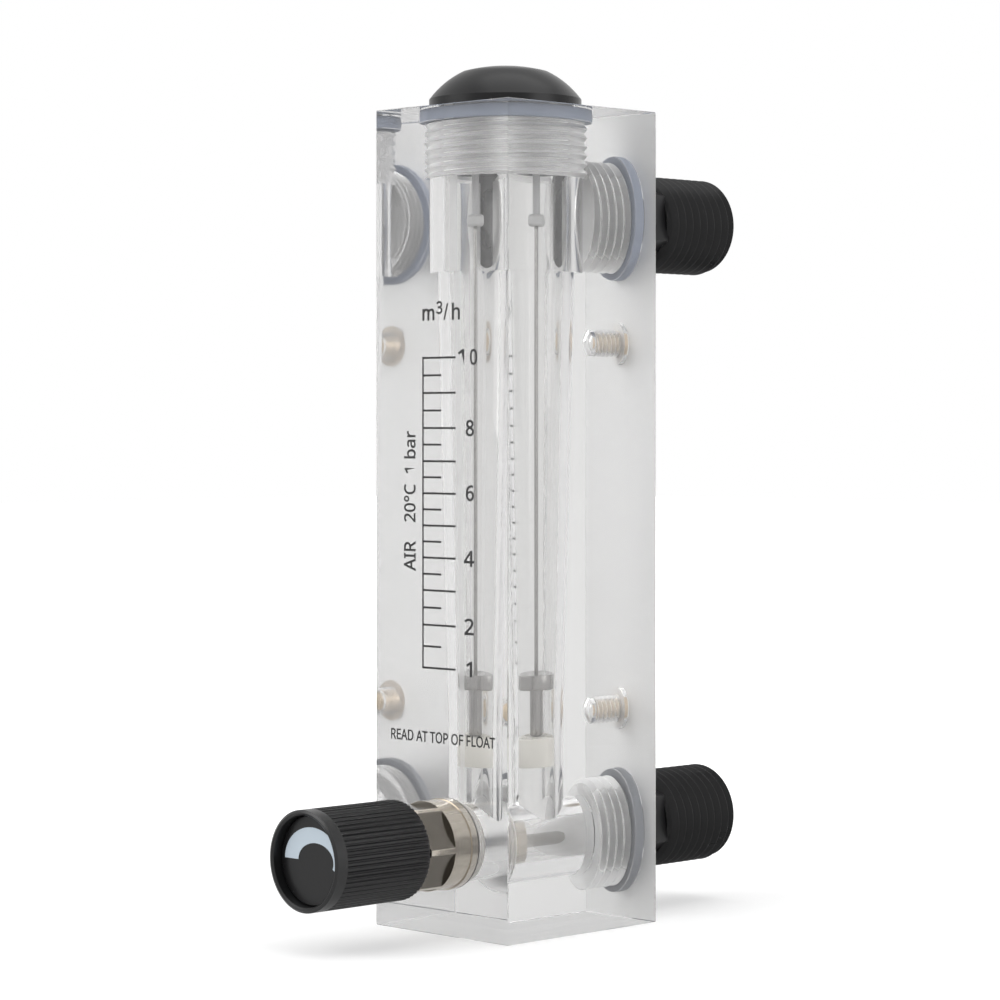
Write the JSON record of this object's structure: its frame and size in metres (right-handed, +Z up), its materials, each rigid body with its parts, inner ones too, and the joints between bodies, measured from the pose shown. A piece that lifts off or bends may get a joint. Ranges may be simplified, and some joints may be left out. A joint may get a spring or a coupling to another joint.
{
  "type": "rotameter",
  "caption": "Clear block flow meter with a float on a guide rod, a needle valve with a fluted knob and threaded pipe connectors at the back.",
  "frame": {"origin": "where the metering axis meets the underside of the block", "axes": "+Z up along the metering axis, -Y towards the dial face and the knob, +Y towards the connectors"},
  "size_m": [0.039, 0.1177, 0.1791],
  "materials": {
    "acrylic": "clear cast acrylic, machined and flame polished",
    "black_plastic": "moulded black plastic, satin",
    "knob_plastic": "moulded charcoal plastic, fine grain",
    "cap_plastic": "printed cap disc, satin",
    "sleeve_plastic": "grey tube",
    "cream_plastic": "moulded cream plastic",
    "seal_rubber": "blue-grey O-ring rubber",
    "black_rubber": "black rubber",
    "clear_rubber": "translucent silicone rubber",
    "stainless_steel": "ground stainless steel",
    "turned_steel": "turned stainless steel",
    "zinc_steel": "zinc plated",
    "nickel_plate": "brass, bright nickel plate",
    "brass": "turned brass"
  },
  "bodies": {
    "base": {"block": "acrylic", "top_plug": "black_plastic", "plug_seal": "seal_rubber", "rod_sleeve": "sleeve_plastic", "stop_bead": "clear_rubber", "guide_rod": "stainless_steel", "lower_guide": "cream_plastic", "bonnet": "nickel_plate", "bonnet_gasket": "black_rubber", "valve_seat": "acrylic", "upper_connector": "black_plastic", "upper_port_seal": "seal_rubber", "lower_connector": "black_plastic", "lower_port_seal": "seal_rubber", "upper_insert": "brass", "lower_insert": "brass"},
    "stem_seal": {"spindle_oring": "black_rubber"},
    "valve": {"spindle": "stainless_steel", "knob": "knob_plastic", "knob_cap": "cap_plastic", "knob_screw": "zinc_steel"},
    "float": {"float": "turned_steel"}
  },
  "joints": [
    {"name": "valve_travel", "type": "slide", "parent": "base", "child": "stem_seal", "axis": [0, -1, 0], "range_m": [0, 0.00475]},
    {"name": "knob_turn", "type": "hinge", "parent": "stem_seal", "child": "valve", "pos_m": [0, -0.05, 0.0186], "axis": [0, -1, 0], "range_deg": [0, 1710]},
    {"name": "float_lift", "type": "slide", "parent": "base", "child": "float", "axis": [0, 0, 1], "range_m": [0, 0.0925]}
  ],
  "couplings": [
    {"joint": "valve_travel", "follows": "knob_turn", "m_per_rad": 0.00015915}
  ]
}
